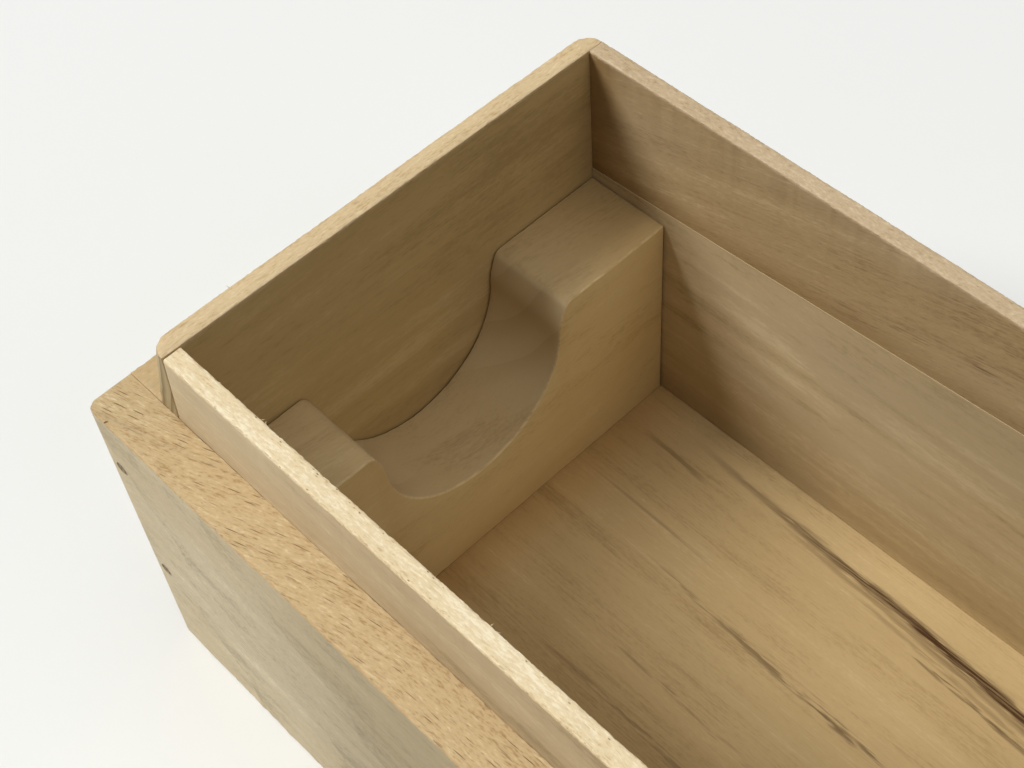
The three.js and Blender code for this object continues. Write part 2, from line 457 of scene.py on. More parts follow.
def dashesAt(place, kind, share, look):
    # long thin ellipsoids, of which only a share is there
    along, across, more = dashes[kind]
    node = addNode("TexVoronoi")
    feed(node.inputs["Vector"], stretched(place, along, across, look["seed"] + more))
    node.inputs["Scale"].default_value = 1.0
    chance = addNode("SeparateColor")
    feed(chance.inputs[0], node.outputs["Color"])
    inside = smoothRange(node.outputs["Distance"], dash["radius"], dash["radius"] * dash["core"])
    there = calc("GREATER_THAN", chance.outputs[0], calc("SUBTRACT", 1.0, share))
    strength = smoothRange(chance.outputs[1], 0.0, 1.0, dash["faintest"], 1.0)
    return times(inside, there, strength)


def threeTones(tone, colours):
    dark, middle, light = colours
    low = mixColours(smoothRange(tone, 0.0, 0.5), dark, middle)
    return mixColours(smoothRange(tone, 0.5, 1.0), low, light)


def turnedTo(vector, look):
    mapping = addNode("Mapping")
    feed(mapping.inputs["Vector"], vector)
    mapping.inputs["Rotation"].default_value = [math.radians(turn) for turn in look["turn"]]
    return mapping


def grainPlace(coordinates, look):
    # millimetres, the grain along X, swaying a little from side to side, and on some boards
    # running off sideways towards one end
    mapping = turnedTo(coordinates, look)
    mapping.inputs["Scale"].default_value = (1 / mm, 1 / mm, 1 / mm)
    sway = noiseAt(mapping.outputs[0], "sway", look)
    aside = addSwing(0.0, sway, look["sway"])
    if look["runOff"]:
        start, end, most = look["runOff"]
        along = apart(mapping.outputs[0])[0]
        aside = calc("ADD", aside, smoothRange(along, start, end, most, 0.0))
    shift = addNode("CombineXYZ")
    feed(shift.inputs[1], aside)
    return feedAll(addNode("VectorMath", operation="ADD"), mapping.outputs[0], shift.outputs[0])


def growthRings(place, look):
    # how dense the wood is, and how near the start of a ring, where the pores are
    parts = apart(place)
    angle = math.radians(look["ringAngle"])
    across = calc("MULTIPLY", parts[1], math.cos(angle))
    across = calc("MULTIPLY_ADD", parts[2], math.sin(angle), across)
    wander = noiseAt(place, "wander", look)
    across = calc("MULTIPLY_ADD", wander, look["ringWander"], across)
    phase = calc("FRACT", calc("DIVIDE", across, look["ringSpacing"]))
    late = times(comesIn(phase, "late"), comesIn(phase, "lateEnd"))
    return late, comesIn(phase, "early")


def paintLightTone(here, colour, change):
    # painted light and shade: the colour goes over to another tone along X, Y or Z, or on a slant
    # that follows X
    where = here[change["along"]]
    if change["slope"]:
        where = calc("MULTIPLY_ADD", here["X"], -change["slope"], where)
    share = smoothRange(where, *change["reach"])
    return mixColours(share, colour, change["tone"], change["blend"])


def sawnTop(place, heightNow, tone, look, colour):
    # the sawn or pared top, where the wood is fresher and more open, with a ragged border
    top = look["top"]
    edge = addSwing(heightNow, noiseAt(place, "ragged", look), top["ragged"] * mm)
    foot = (top["height"] - top["depth"]) * mm
    onTop = smoothRange(edge, foot, foot + top["fade"] * mm)
    tone = addSwing(0.5, tone, top["carry"])
    for kind in ("grit", "coarse"):
        tone = addSwing(tone, noiseAt(place, kind, look), top[kind])
    tone = calc("ADD", tone, 0.0, clamp=True)
    return onTop, mixColours(onTop, colour, threeTones(tone, top["colours"]))


def poresAt(place, early, openness, look):
    # most of the pores lie in rows at the start of each ring
    rows = comesIn(noiseAt(place, "poreRows", look), "poreRows")
    share = calc("MULTIPLY_ADD", early, look["earlyPores"], look["poreShare"])
    pores = dashesAt(place, "pores", times(share, openness, rows), look)
    fine = dashesAt(place, "finePores", look["finePoreShare"], look)
    return calc("MAXIMUM", pores, times(fine, look["finePores"]))


def gumStreak(along, across, noises, streak):
    # one long dark thread in the wood, from its start to its end, wavering, frayed and broken
    middle = calc("MULTIPLY_ADD", calc("SUBTRACT", along, streak["start"]),
                  streak["slope"], streak["side"])
    middle = addSwing(middle, noises["wobble"], streak["waver"])
    middle = addSwing(middle, noises["fibres"], streak["fray"])
    width = smoothRange(along, streak["start"], streak["grown"], streak["thin"], streak["thick"])
    width = times(width, comesIn(noises["breaks"], "streakWidth"))
    body = comesIn(calc("DIVIDE", offFrom(across, middle), width), "streakBody")
    body = times(body, comesIn(noises["fibres"], "streakFibres"))
    begun = smoothRange(along, streak["start"], streak["start"] + streak["fade"])
    ended = smoothRange(along, streak["end"], streak["end"] - streak["fade"])
    whole = smoothRange(noises["breaks"], streak["gaps"], streak["gaps"] + streak["gapEdge"])
    deepening = smoothRange(along, streak["start"], streak["grown"], *streak["strength"])
    return times(body, begun, ended, whole, deepening)


def gumAt(place, noises, look):
    # faint threads all over, and the strong streaks that this board has
    gum = times(comesIn(noiseAt(place, "gum", look), "gum"), look["gum"])
    if look["streaks"]:
        along, across = apart(place)[:2]
        noises = dict(noises, wobble=noiseAt(place, "wobble", look),
                      breaks=noiseAt(place, "breaks", look))
        for streak in look["streaks"]:
            thread = gumStreak(along, across, noises, streak)
            gum = calc("MAXIMUM", gum, thread)
    return gum


def arrisAt(facing, mottle, look):
    # arrises are touched more, in patches; a light arris colour, as on the rests, is also a
    # painted highlight
    flat, turned = calc("ABSOLUTE", facing[0]), 1.0
    if look["roundAcross"]:
        turned = comesIn(flat, "arrisAcross")
    else:
        for part in facing[1:]:
            flat = calc("MAXIMUM", flat, calc("ABSOLUTE", part))
    return times(comesIn(flat, "arris"), turned, look["arrisShare"],
                 comesIn(mottle, "arrisPatches"))


def woodMaterial(name, look):
    material = bpy.data.materials.new(name)
    shader = startWiring(material)["Principled BSDF"]
    coordinates = addNode("TexCoord")
    here = apart(coordinates.outputs["Object"])
    facing = apart(coordinates.outputs["Normal"])
    place = grainPlace(coordinates.outputs["Object"], look)
    late, early = growthRings(place, look)

    # tone: broad bands, fine fibres, clouds and mottling
    noises = {}
    tone = 0.5
    for kind in ("bands", "fibres", "clouds", "mottle", "fineMottle"):
        noises[kind] = noiseAt(place, kind, look)
        tone = addSwing(tone, noises[kind], look[kind])
    tone = calc("MULTIPLY_ADD", late, -look["rings"], tone, clamp=True)
    colour = threeTones(tone, look["colours"])
    tint = comesIn(noiseAt(place, "tint", look), "tint")
    colour = mixColours(times(tint, look["tinting"]), colour, look["tint"])

    # a cut surface that doesn't face along the box has its own colours
    if look["crossCut"]:
        turned = comesIn(calc("ABSOLUTE", facing[0]), "crossCut")
        cutColour = threeTones(tone, look["crossCut"])
        # painted light and shade on the cut faces
        for change in look["cutDrifts"]:
            cutColour = paintLightTone(here, cutColour, change)
        colour = mixColours(turned, colour, cutColour)
    # painted light and shade along the board
    for change in look["drifts"]:
        colour = paintLightTone(here, colour, change)
    poreDepth, poreColour, openness = look["pores"], look["poreColour"], 1.0
    if look["top"]:
        top = look["top"]
        onTop, colour = sawnTop(place, here[2], tone, look, colour)
        poreDepth = mixValues(onTop, poreDepth, top["pores"])
        poreColour = mixColours(onTop, poreColour, top["poreColour"])
        openness = mixValues(onTop, 1.0, top["openness"])

    # end grain drinks the light and shows the rings as lines
    alongGrain = apart(turnedTo(coordinates.outputs["Normal"], look).outputs[0])[0]
    ends = comesIn(calc("ABSOLUTE", alongGrain), "endGrain")
    lines = times(late, look["endGrainLines"])
    endColour = mixColours(lines, look["endGrain"], look["endGrainLine"])
    colour = mixColours(ends, colour, endColour)

    pores = times(poresAt(place, early, openness, look), poreDepth)
    colour = mixColours(pores, colour, poreColour)
    if look["specks"]:
        specks = look["specks"]
        pits = times(dashesAt(place, "specks", specks["share"], look), onTop)
        side = calc("ABSOLUTE", here[1])
        for start, full in specks["edges"]:
            reach = smoothRange(side, start * mm, full * mm)
            colour = mixColours(times(pits, reach), colour, specks["colour"])
    gum = gumAt(place, noises, look)
    colour = mixColours(gum, colour, look["gumColour"])

    # dirt in the seam where a board stands on the ledge
    if look["seam"]:
        seam = look["seam"]
        beyond = seam["beyond"] * mm
        dirt = times(smoothRange(offFrom(here[2], seam["height"] * mm), seam["width"] * mm, 0.0),
                     smoothRange(calc("ABSOLUTE", here[1]), beyond - hair, beyond),
                     comesIn(noiseAt(place, "dirt", look), "dirt"))
        colour = mixColours(dirt, colour, seam["colour"])
    arris = arrisAt(facing, noises["mottle"], look)
    colour = mixColours(arris, colour, look["arris"])

    feed(shader.inputs["Base Color"], colour)
    feed(shader.inputs["Roughness"],
         addSwing(look["roughness"], noises["fibres"], look["roughnessSwing"]))
    shader.inputs["Specular IOR Level"].default_value = look["shine"]
    share = look["reliefOf"]
    relief = times(noises["fibres"], share["fibres"])
    relief = calc("MULTIPLY_ADD", pores, share["pores"], relief)
    relief = calc("MULTIPLY_ADD", noises["fineMottle"], share["fineMottle"], relief)
    bump = addNode("Bump")
    bump.inputs["Strength"].default_value = 1.0
    bump.inputs["Distance"].default_value = look["relief"] * mm
    feed(bump.inputs["Height"], relief)
    feed(shader.inputs["Normal"], bump.outputs[0])
    return material


# Camera at the photograph's angle, in millimetres and degrees

photoCamera = {
    "place": (-158.25, -85.03, 221.56),
    "aim": (-283.24, 18.56, 6.4),
    "roll": -5.53,
    "lens": 58.06,
    "sensor": 36,
    "nearest": 0.01,  # metres
}


def placeCamera(setup):
    data = bpy.data.cameras.new("photoCamera")
    camera = bpy.data.objects.new("photoCamera", data)
    bpy.context.scene.collection.objects.link(camera)
    data.lens = setup["lens"]
    data.sensor_width = setup["sensor"]
    data.clip_start = setup["nearest"]
    camera.location = Vector(setup["place"]) * mm
    look = Vector(setup["aim"]) * mm - camera.location
    camera.rotation_euler = look.to_track_quat("-Z", "Y").to_euler()
    camera.rotation_euler.rotate_axis("Z", math.radians(setup["roll"]))
    bpy.context.scene.camera = camera


# Paper floor, a window light from the left, a broad soft one overhead and a weak one from the room

studio = {
    "paper": (239, 240, 237),
    "paperSize": 24.0,
    "paperDrop": 0.05 * mm,
    "paperEnd": (0.9, 2.0),
    "paperRoughness": 0.8,
    "paperShine": 0.2,
    "skyLight": 0.145,
    "lamps": {
        "window": {"fromWay": (-0.71, -0.63, 1.0), "distance": 6.0, "size": 2.7, "power": 320},
        "ceiling": {"fromWay": (0.1, 0.0, 1.0), "distance": 3.0, "size": 3.0, "power": 25},
        "room": {"fromWay": (1.0, 0.1, 0.8), "distance": 2.4, "size": 1.2, "power": 4.0},
    },
}


def addLamp(name, target, fromWay, distance, size, power):
    data = bpy.data.lights.new(name, type="AREA")
    data.shape = "DISK"
    data.size = size
    data.energy = power
    lamp = bpy.data.objects.new(name, data)
    bpy.context.scene.collection.objects.link(lamp)
    way = Vector(fromWay).normalized()
    lamp.location = target + way * distance
    lamp.rotation_euler = (-way).to_track_quat("-Z", "Y").to_euler()


def mixShaders(share, first, second, output):
    mixer = addNode("MixShader")
    mixed = feedAll(mixer, share, first.outputs[0], second.outputs[0])
    feed(output.inputs["Surface"], mixed)


def layPaper(setup):
    pickOnly()
    bpy.ops.mesh.primitive_plane_add(size=setup["paperSize"],
                                     location=(0, 0, cadLow.z - setup["paperDrop"]))
    paper = bpy.context.object
    paper.name = "paperFloor"
    material = bpy.data.materials.new("paperFloor")
    nodes = startWiring(material)
    shader = nodes["Principled BSDF"]
    feed(shader.inputs["Base Color"], setup["paper"])
    shader.inputs["Roughness"].default_value = setup["paperRoughness"]
    shader.inputs["Specular IOR Level"].default_value = setup["paperShine"]
    # far from the box what is seen goes over to the plain tone of the backdrop
    away = addNode("VectorMath", operation="LENGTH")
    feed(away.inputs[0], addNode("TexCoord").outputs["Object"])
    seen = addNode("Emission")
    feed(seen.inputs["Color"], setup["paper"])
    farAway = smoothRange(away.outputs["Value"], *setup["paperEnd"])
    byCamera = addNode("LightPath").outputs["Is Camera Ray"]
    mixShaders(times(farAway, byCamera), shader, seen, nodes["Material Output"])
    paper.data.materials.append(material)


def lightSky(setup):
    world = bpy.data.worlds.new("studioSky")
    bpy.context.scene.world = world
    nodes = startWiring(world)
    light = nodes["Background"]
    light.inputs["Color"].default_value = (1, 1, 1, 1)
    light.inputs["Strength"].default_value = setup["skyLight"]
    seen = addNode("Background")
    feed(seen.inputs["Color"], setup["paper"])
    byCamera = addNode("LightPath").outputs["Is Camera Ray"]
    mixShaders(byCamera, light, seen, nodes["World Output"])


def buildStudio(setup):
    layPaper(setup)
    lightSky(setup)
    boxEnd = Vector((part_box("left_end_wall")[0].x, 0, ledgeHeight))
    for name, lamp in setup["lamps"].items():
        addLamp(name + "Lamp", boxEnd, **lamp)
    bpy.context.scene.view_settings.view_transform = "Standard"


placeCamera(photoCamera)
buildStudio(studio)
print("camera, floor and light are up")


# Outer walls: the long ones run the full length, and the end ones stand between them

wall = {
    "ease": 0.34 * mm,
    "endEase": 0.17 * mm,
    "easeSegments": 3,
    "seamEase": 0.05 * mm,
    "cornerRadius": 1.4 * mm,
    "cornerSegments": 6,
    "support": 0.7 * mm,
    "endStretch": 6.0 * mm,
    "ringStep": 0.5 * mm,
    "arrisReach": 0.5 * mm,
    "arrisWear": ((1.4 * mm, 0.2 * mm), (0.7 * mm, 0.12 * mm)),
    "holeRadius": 1.1 * mm,
    "holeOverrun": 0.4 * mm,
    "holeFacets": 28,
}
nick = {"place": (-286.1, -45.1), "size": (0.3, 0.75, 0.5), "turn": -35, "facets": 12, "rings": 8}
longSides = (("front", -1), ("back", 1))
wallLook = dict(
    plainWood,
    seed=2.0, turn=(0, 0, -3), runOff=(-310, -232, 14), ringAngle=-12, ringSpacing=7.5,
    rings=0.2, bands=1.0, fibres=0.8, clouds=0.35, mottle=0.7, fineMottle=0.7,
    colours=((169, 154, 123), (203, 187, 154), (223, 208, 177)),
    tint=(194, 172, 131), pores=0.3, poreColour=(112, 100, 76), gum=0.25,
    gumColour=(146, 140, 124), endGrain=(172, 150, 112), endGrainLine=(128, 104, 70),
    arris=(188, 150, 100), arrisShare=0.55,
    # painted shade: the walls go darker towards +X, from x -272 to -228 mm
    drifts=(paintedLight("X", -272, -228, (228, 226, 220)),),
    top={
        "height": ledgeHeight / mm,
        "depth": 0.6, "fade": 0.5, "ragged": 1.6,
        "colours": ((165, 134, 88), (197, 171, 127), (218, 197, 155)),
        "carry": 0.5, "grit": 1.2, "coarse": 0.6, "pores": 0.8, "poreColour": (122, 88, 48),
        "openness": 2.2,
    },
)
endWallTop = dict(wallLook["top"], carry=0.3, grit=0.9, coarse=0.3, pores=0.4, openness=0.6)
endWallLook = dict(wallLook, seed=6.0, turn=acrossBox, runOff=None, ringAngle=20, top=endWallTop)


def boreHoles(board, pegs):
    # the drilled holes of the pegs, a little deeper than the pegs
    drills = []
    for node in pegs:
        low, high = pieceBox(node)
        length = high.y - low.y + 2 * wall["holeOverrun"]
        drills.append(addRod(wall["holeFacets"], wall["holeRadius"], length, (low + high) / 2,
                             alongY))
    joinPieces(drills[0], drills[1:])
    cutAway(board, settle())


def pegsOf(*words):
    # the pegs whose names have all these words, of the box or of the lid
    found = []
    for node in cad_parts:
        parts = node.split("_")
        onLid = "lid" in parts
        if "peg" in parts and onLid == ("lid" in words) and set(words) <= set(parts):
            found.append(node)
    return found


def makeLongBoard(node, side, pegs):
    board, low, high = sawBoard(node)
    outer, inner = facesOf(low, high, 1, side)
    step = wall["ringStep"]
    roundEdges(board, lambda a, b: abs(a.z - b.z) > mm and abs(a.y - outer) < hair,
               wall["cornerRadius"], wall["cornerSegments"])
    cutEvery(board, 0, low.x, low.x + wall["endStretch"] + step, step)
    cutEvery(board, 0, high.x - wall["endStretch"] - step, high.x, step)
    supportCuts(board, low, high, wall["support"], axes=(1, 2))

    def atSeam(a, b):
        # where the liner stands against the board its arris stays crisp
        return max(abs(a.y - inner), abs(b.y - inner)) < hair
    easeArrises(board, wall["ease"], wall["easeSegments"], lambda a, b: not atSeam(a, b))
    easeArrises(board, wall["seamEase"], 1, atSeam)
    boreHoles(board, pegs)
    ringCuts(board, 0, low.x + wall["endStretch"], high.x - wall["endStretch"], step)
    wearArrises(board, low, high, wall["arrisReach"], wall["arrisWear"])
    return board


def makeEndBoard(node, pegs):
    board, low, high = sawBoard(node)
    inset = wall["support"]
    supportCuts(board, low, high, inset)
    easeArrises(board, wall["endEase"], wall["easeSegments"])
    boreHoles(board, pegs)
    ringCuts(board, 1, low.y + inset, high.y - inset, wall["ringStep"])
    wearArrises(board, low, high, wall["arrisReach"], wall["arrisWear"])
    return board


def knockNick(board):
    # a knock that the ledge has taken at its near corner
    x, y = (value * mm for value in nick["place"])
    pickOnly()
    bpy.ops.mesh.primitive_uv_sphere_add(segments=nick["facets"], ring_count=nick["rings"],
                                         radius=mm / 2, location=(x, y, ledgeHeight))
    dent = bpy.context.object
    dent.scale = nick["size"]
    dent.rotation_euler.z = math.radians(nick["turn"])
    cutAway(board, settle())


wallWood = woodMaterial("wallWood", wallLook)
endWallWood = woodMaterial("endWallWood", endWallLook)
for name, side in longSides:
    board = makeLongBoard(name + "_wall", side, pegsOf(name))
    if name == "front":
        knockNick(board)
    finishPiece(board, wallWood, "box", "outer_wood", name + "_wall")
for name in ("left", "right"):
    board = makeEndBoard(name + "_end_wall", pegsOf(name))
    finishPiece(board, endWallWood, "box", "outer_wood", name + "_end_wall")
print("walls made")


# Pegs: one whittled peg for the box and a shorter one for the lid, copied to each hole

peg = {
    "slack": 0.03 * mm,
    "facets": 28,
    "ease": 0.12 * mm,
    "easeSegments": 2,
    "sunk": 0.03 * mm,
    "faceInset": 0.35 * mm,
    "faceWear": ((0.5 * mm, 0.12 * mm),),
}
pegLook = dict(
    plainWood,
    seed=71.0, turn=acrossBox, ringSpacing=0.7, ringWander=2, rings=0.3,
    colours=((128, 98, 60), (160, 128, 84), (184, 152, 106)),
    endGrain=(132, 117, 90), endGrainLine=(98, 82, 58), arris=(166, 142, 106), arrisShare=0.5,
)


def makePeg(name, node):
    # lies along Y with its outer end at the origin, looking towards -Y
    low, high = pieceBox(node)
    length = high.y - low.y - peg["sunk"]
    radius = (high.z - low.z) / 2 - peg["slack"]
    addRod(peg["facets"], radius, length, (0, peg["sunk"] + length / 2, 0), alongY)
    model = settle()
    model.name = name
    easeArrises(model, peg["ease"], peg["easeSegments"], sharp=bench["sharpOnRound"])
    pickVertices(model, lambda co: co.y < peg["sunk"] + hair)
    bpy.ops.mesh.select_mode(type="FACE")
    bpy.ops.mesh.inset(thickness=peg["faceInset"], depth=0)
    bpy.ops.mesh.inset(thickness=peg["faceInset"], depth=-peg["sunk"] / 2)
    leaveEdit()
    wearDown(model, peg["faceWear"], lambda co: co.y < peg["sunk"] + peg["ease"] / 2)
    return model


def copyPeg(model, node, side, body):
    low, high = pieceBox(node)
    pin = model.copy()
    pin.data = model.data.copy()
    pin.name = node + "_pin"
    bpy.context.scene.collection.objects.link(pin)
    pickOnly(pin)
    pin.location = (low + high) / 2
    pin.location.y = facesOf(low, high, 1, side)[0]
    pin.rotation_euler.z = math.pi if side > 0 else 0
    finishPiece(settle(), pegWood, body, "peg_wood", node)


pegWood = woodMaterial("pegWood", pegLook)
for body, words in (("box", ()), ("lid", ("lid",))):
    model = makePeg(body + "Peg", pegsOf(*words)[0])
    for name, side in longSides:
        for node in pegsOf(name, *words):
            copyPeg(model, node, side, body)
    bpy.data.objects.remove(model)
print("pegs made")


# Liners and the lip that they form above the ledge

liner = {
    "taper": 0.6 * mm,
    "ease": 0.2 * mm,
    "easeSegments": 2,
    "support": 0.5 * mm,
    "ringStep": 0.3 * mm,
    "endRingStep": 0.5 * mm,
    "endHeightStep": 1.5 * mm,
    "lipDepth": 0.35 * mm,
    "lipWear": ((0.8 * mm, 0.1 * mm), (0.4 * mm, 0.13 * mm), (9 * mm, 0.14 * mm)),
    "cornerRadius": 2.8 * mm,
    "cornerSegments": 8,
    "cornerReach": 3.36 * mm,
    "cornerFootShare": 0.06,
    "cornerCuts": 7,
    "cornerWear": ((1.6 * mm, 0.3 * mm), (0.6 * mm, 0.16 * mm)),
    "openJoint": {"gap": 0.12 * mm, "ease": 0.2 * mm},
    "tightJoint": {"gap": 0.03 * mm, "ease": 0.04 * mm},
    "stripJointHeight": 40 * mm,
    "stripJointRun": 350 * mm,
    "upperStripSetBack": 0.08 * mm,
}
splinters = {  # the foot's place, the way it points, its length and its width
    "facets": 5,
    "front_liner": (
        ((-264.5, -35.1), (0.7, 0.6, 0.35), 0.9, 0.14),
        ((-263.5, -35.1), (-0.5, 0.8, 0.5), 0.7, 0.15),
        ((-226.0, -35.1), (0.3, 0.9, 0.5), 0.8, 0.14),
        ((-225.1, -35.1), (0.9, 0.4, 0.3), 0.9, 0.12),
        ((-272.4, -35.1), (0.8, 0.5, 0.2), 0.6, 0.12),
    ),
    "left_end_liner": (((-282.8, -25.1), (-0.9, -0.2, 0.4), 0.8, 0.1),),
}

# The back liner's two strips are glued on a line that rises from its left end
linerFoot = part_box("back_liner_lower")[0]
jointRise = lipTop - linerFoot.z - liner["stripJointHeight"]


def jointPaintedLight(start, full, tone, **more):
    # painted light and shade that follows the glue line, in millimetres above it
    slope = jointRise / liner["stripJointRun"]
    height = (linerFoot.z + liner["stripJointHeight"] - slope * linerFoot.x) / mm
    return paintedLight("Z", height + start, height + full, tone, slope=slope, **more)


linerLook = dict(
    plainWood,
    seed=11.0, ringAngle=70, ringSpacing=6.5, rings=0.12, bands=1.3, fibres=0.5, clouds=1.2,
    mottle=0.55, fineMottle=0.45, relief=0.03,
    colours=((173, 152, 117), (204, 182, 146), (222, 203, 167)),
    tint=(190, 174, 143), pores=0.08, gum=0.05, arris=(176, 150, 112), arrisShare=0.5,
    # painted shade: the front liner goes darker towards +X, from x -268 to -236 mm
    drifts=(paintedLight("X", -268, -236, (238, 236, 233)),),
    seam={"height": ledgeHeight / mm, "width": 0.13, "beyond": 38.0, "colour": (92, 68, 40)},
    specks={"edges": ((35.9, 35.3), (37.1, 37.5)), "share": 0.3, "colour": (116, 94, 62)},
    top={
        "height": lipTop / mm,
        "depth": 0.55, "fade": 0.4, "ragged": 1.1,
        "colours": ((200, 172, 126), (231, 210, 169), (247, 233, 200)),
        "carry": 0.7, "grit": 1.3, "coarse": 0.6, "pores": 0.3, "poreColour": (150, 124, 84),
        "openness": 1.2,
    },
)
darkRow = {
    "start": -233, "grown": -200, "end": -168, "side": -108.0, "slope": 0, "waver": 0.8,
    "fray": 0.7, "thin": 0.5, "thick": 0.9, "fade": 6, "gaps": 0.5, "gapEdge": 0.2,
    "strength": (0.4, 0.7),
}
lowerStripLook = dict(
    linerLook,
    fibres=0.35,
    colours=((170, 149, 109), (201, 178, 138), (220, 200, 160)),
    seam=None, specks=None,
    drifts=(
        # painted shade: darker towards the floor, below 30 mm
        paintedLight("Z", 30, 9, (230, 224, 212)),
        # painted shade: darker towards +X, from x -240 to -205 mm
        paintedLight("X", -240, -205, (245, 244, 238)),
        # painted highlight: a light line along the lower strip's top edge, under the glue line
        jointPaintedLight(-0.45, -0.1, (193, 172, 133), blend="MIX"),
    ),
)
upperStripLook = dict(
    lowerStripLook,
    seed=17.0, turn=(90, 0, 14), ringAngle=35, rings=0.04, bands=0.8, fibres=0.65, clouds=0.6,
    mottle=0.6, tinting=0.3, relief=0.04,
    colours=((150, 122, 84), (186, 159, 116), (211, 186, 142)),
    drifts=(
        # painted shade in the corner by the end liner
        paintedLight("X", -272, -279, (214, 200, 176)),
        # painted shade: darker just above the glue line
        jointPaintedLight(5, 0, (230, 223, 212)),
    ),
    streaks=(darkRow, dict(darkRow, start=-215, side=-109.4, strength=(0.3, 0.5))),
    pores=0.2, gumColour=(96, 70, 36),
    top=dict(linerLook["top"], colours=((168, 142, 106), (197, 173, 138), (214, 194, 160))),
)
endLinerLook = dict(
    lowerStripLook,
    seed=23.0, drifts=(), turn=acrossBox, ringAngle=14, ringSpacing=1.5, ringWander=6,
    rings=0.1, bands=1.1, fibres=0.5,
    colours=((179, 155, 107), (205, 180, 127), (220, 198, 147)),
    tint=(180, 152, 106), endGrain=(172, 155, 120), endGrainLine=(116, 96, 66),
    top=dict(linerLook["top"], colours=((184, 154, 108), (213, 188, 146), (232, 212, 172)),
             grit=1.1, coarse=0.5, pores=0.15),
)


def addSplinters(board, node):
    # torn fibres that the plane has left standing on the lip's edges
    slivers = []
    for (x, y), way, length, width in splinters.get(node, ()):
        way = Vector(way).normalized()
        foot = Vector((x * mm, y * mm, lipTop - 2 * width * mm))
        pickOnly()
        bpy.ops.mesh.primitive_cone_add(vertices=splinters["facets"], radius1=width * mm,
                                        radius2=0, depth=length * mm,
                                        location=foot + way * (length * mm) / 3,
                                        rotation=way.to_track_quat("Z", "Y").to_euler())
        slivers.append(settle())
    return joinPieces(board, slivers) if slivers else board


def wearLip(board):
    wearDown(board, liner["lipWear"], lambda co: co.z > lipTop - liner["lipDepth"])


def makeLongLiner(name, low, high, side, joint):
    low = low + Vector((joint["gap"], 0, 0))
    high = high - Vector((joint["gap"], 0, 0))
    board = addBoard(name, low, high)
    outer, inner = facesOf(low, high, 1, side)
    support = liner["support"]
    cutAcross(board, 2, ledgeHeight)
    moveVertices(board, lambda co: co.z > lipTop - hair and abs(co.y - outer) < hair,
                 (0, -side * liner["taper"], 0))
    cutAcross(board, 1, inner + side * support)
    cutAcross(board, 1, outer - side * (liner["taper"] + support))
    supportCuts(board, low, high, support, axes=(0, 2))

    def atEnd(a, b):
        return min(abs(a.x - end) + abs(b.x - end) for end in (low.x, high.x)) < hair
    easeArrises(board, liner["ease"], liner["easeSegments"], lambda a, b: not atEnd(a, b))
    easeArrises(board, joint["ease"], 1, atEnd)
    ringCuts(board, 0, low.x + support, high.x - support, liner["ringStep"])
    wearLip(board)
    return board


def cutOnJoint(board, keepUpper):
    start = (linerFoot.x, 0, linerFoot.z + liner["stripJointHeight"])
    slope = Vector((-jointRise, 0, liner["stripJointRun"])).normalized()
    enterEdit(board)
    bpy.ops.mesh.select_all(action="SELECT")
    bpy.ops.mesh.bisect(plane_co=start, plane_no=slope, use_fill=True,
                        clear_inner=keepUpper, clear_outer=not keepUpper)
    leaveEdit()


def makeEndLiner(node, side):
    board, low, high = sawBoard(node)
    outer, inner = facesOf(low, high, 0, side)
    taper, radius = liner["taper"], liner["cornerRadius"]
    cutAcross(board, 2, ledgeHeight)
    moveVertices(board, lambda co: co.z > lipTop - hair and abs(co.x - outer) < hair,
                 (-side * taper, 0, 0))
    for end in (-1, 1):
        moveVertices(board, lambda co: co.z > lipTop - hair and co.y * end > high.y - hair,
                     (0, -end * taper, 0))

    # the two outer corners of the lip are pared round and run out to square at the ledge
    def atCorner(a, b):
        return (min(a.z, b.z) > ledgeHeight - hair and abs(a.z - b.z) > mm
                and max(abs(a.x - outer), abs(b.x - outer)) < 2 * taper)
    roundEdges(board, atCorner, radius, liner["cornerSegments"])
    share = (liner["cornerFootShare"], liner["cornerFootShare"], 1)
    for end in (-1, 1):
        corner = Vector((outer, end * high.y, ledgeHeight))
        resizeVertices(board, lambda co: abs(co.z - ledgeHeight) < hair
                       and (co - corner).length < liner["cornerReach"], corner, share)
    step = liner["endRingStep"]
    inset = taper + liner["cornerCuts"] * step
    cutEvery(board, 1, low.y + taper, low.y + inset + step, step)
    cutEvery(board, 1, high.y - inset - step, high.y - taper, step)
    cutEvery(board, 2, ledgeHeight, lipTop, liner["endHeightStep"])
    cutAcross(board, 0, inner + side * liner["support"])
    easeArrises(board, liner["ease"], liner["easeSegments"])
    ringCuts(board, 1, low.y + inset, high.y - inset, step)
    wearLip(board)
    wearDown(board, liner["cornerWear"], lambda co: co.z > ledgeHeight + liner["support"]
             and abs(co.x - outer) < radius and abs(co.y) > high.y - radius)
    return board


linerWood = woodMaterial("linerWood", linerLook)
lowerStripWood = woodMaterial("lowerStripWood", lowerStripLook)
upperStripWood = woodMaterial("upperStripWood", upperStripLook)
endLinerWood = woodMaterial("endLinerWood", endLinerLook)
low, high = pieceBox("front_liner")
frontLiner = makeLongLiner("front_liner_board", low, high, -1, liner["openJoint"])
finishPiece(addSplinters(frontLiner, "front_liner"), linerWood, "box", "liner_wood", "front_liner")
low, high = pieceBox("back_liner_lower")
high.z = lipTop
lowerStrip = makeLongLiner("back_liner_lower_board", low, high, 1, liner["tightJoint"])
cutOnJoint(lowerStrip, False)
finishPiece(lowerStrip, lowerStripWood, "box", "liner_wood", "back_liner_lower")
low.y += liner["upperStripSetBack"]
upperStrip = makeLongLiner("back_liner_upper_board", low, high, 1, liner["tightJoint"])
cutOnJoint(upperStrip, True)
finishPiece(upperStrip, upperStripWood, "box", "liner_wood_dark", "back_liner_upper")
